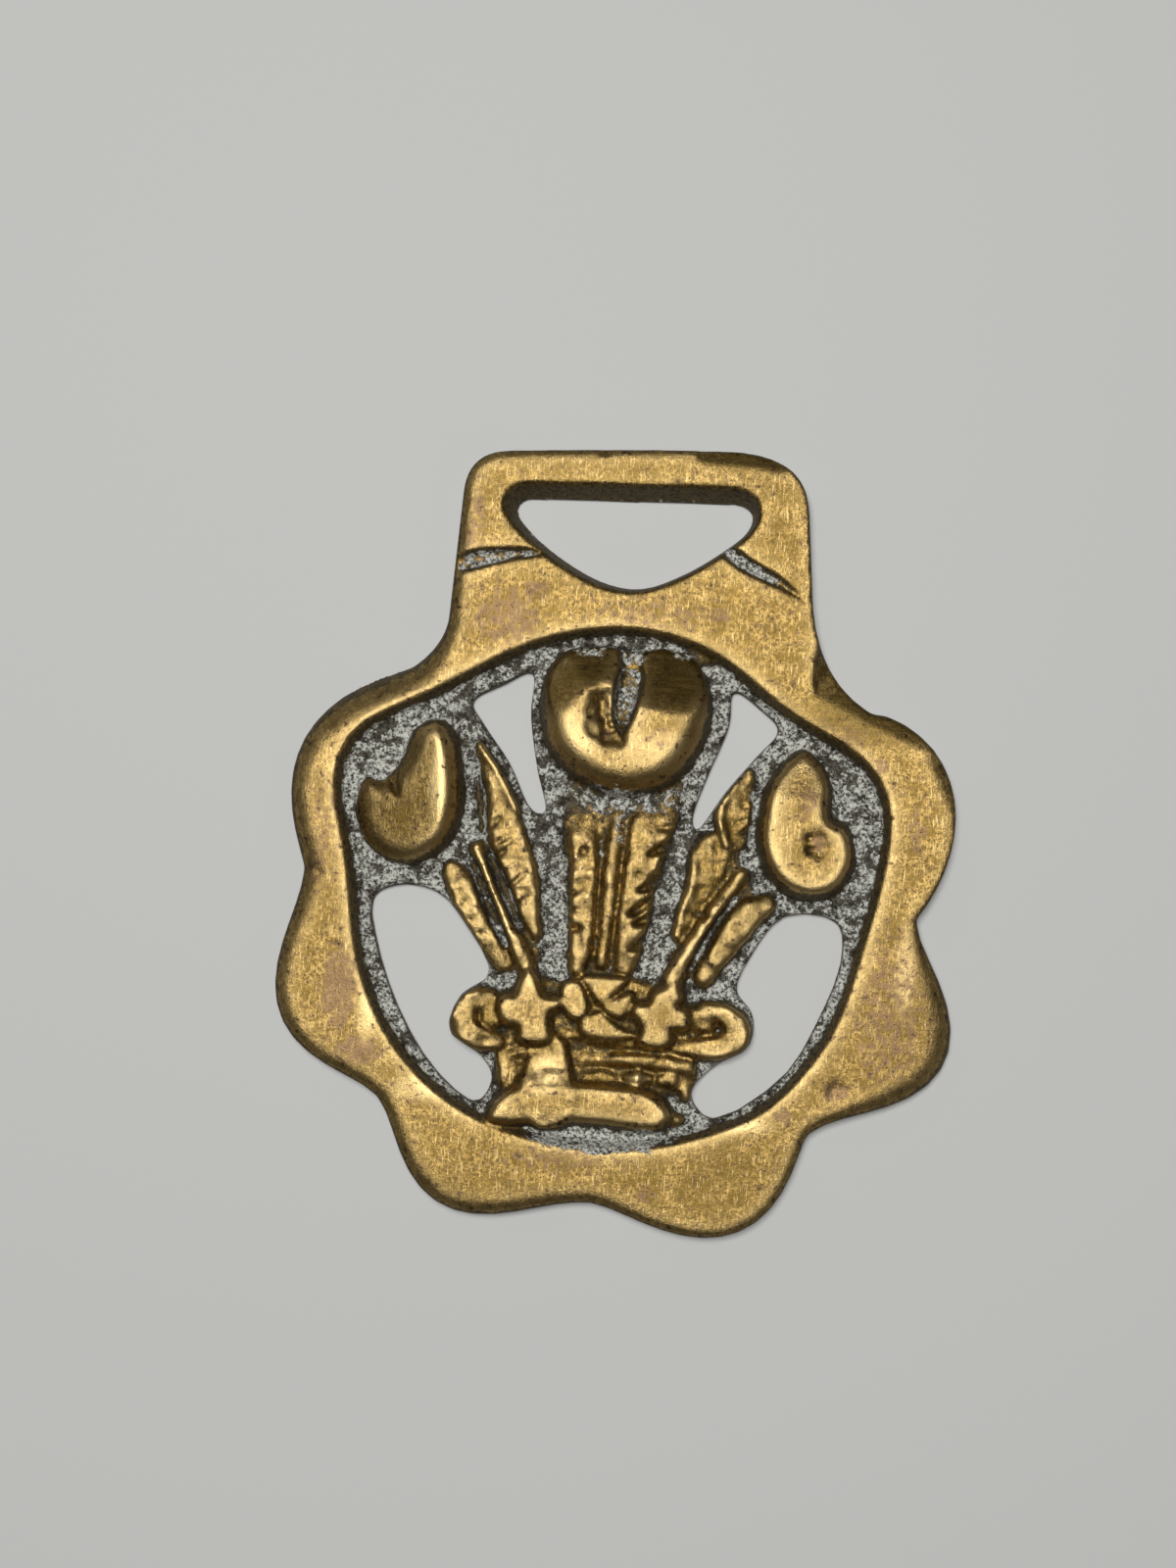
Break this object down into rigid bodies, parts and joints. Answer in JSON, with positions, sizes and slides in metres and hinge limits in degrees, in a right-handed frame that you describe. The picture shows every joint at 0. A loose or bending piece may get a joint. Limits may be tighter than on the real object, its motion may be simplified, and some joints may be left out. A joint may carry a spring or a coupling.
{
  "type": "horse brass",
  "caption": "Cast horse brass: a flat scalloped rim with a strap hanger above, pierced round curled ostrich plumes that rise from a coronet.",
  "frame": {"origin": "under the middle of the casting, on the plane of its flat back", "axes": "+Z out of the carved face, +Y towards the strap hanger, +X to the right as the face is looked at"},
  "size_m": [0.0685, 0.0797, 0.0056],
  "materials": {
    "brass": "worn and tarnished cast brass, with grey polish residue in the recesses"
  },
  "bodies": {
    "root": {"horse_brass": "brass"}
  },
  "joints": []
}
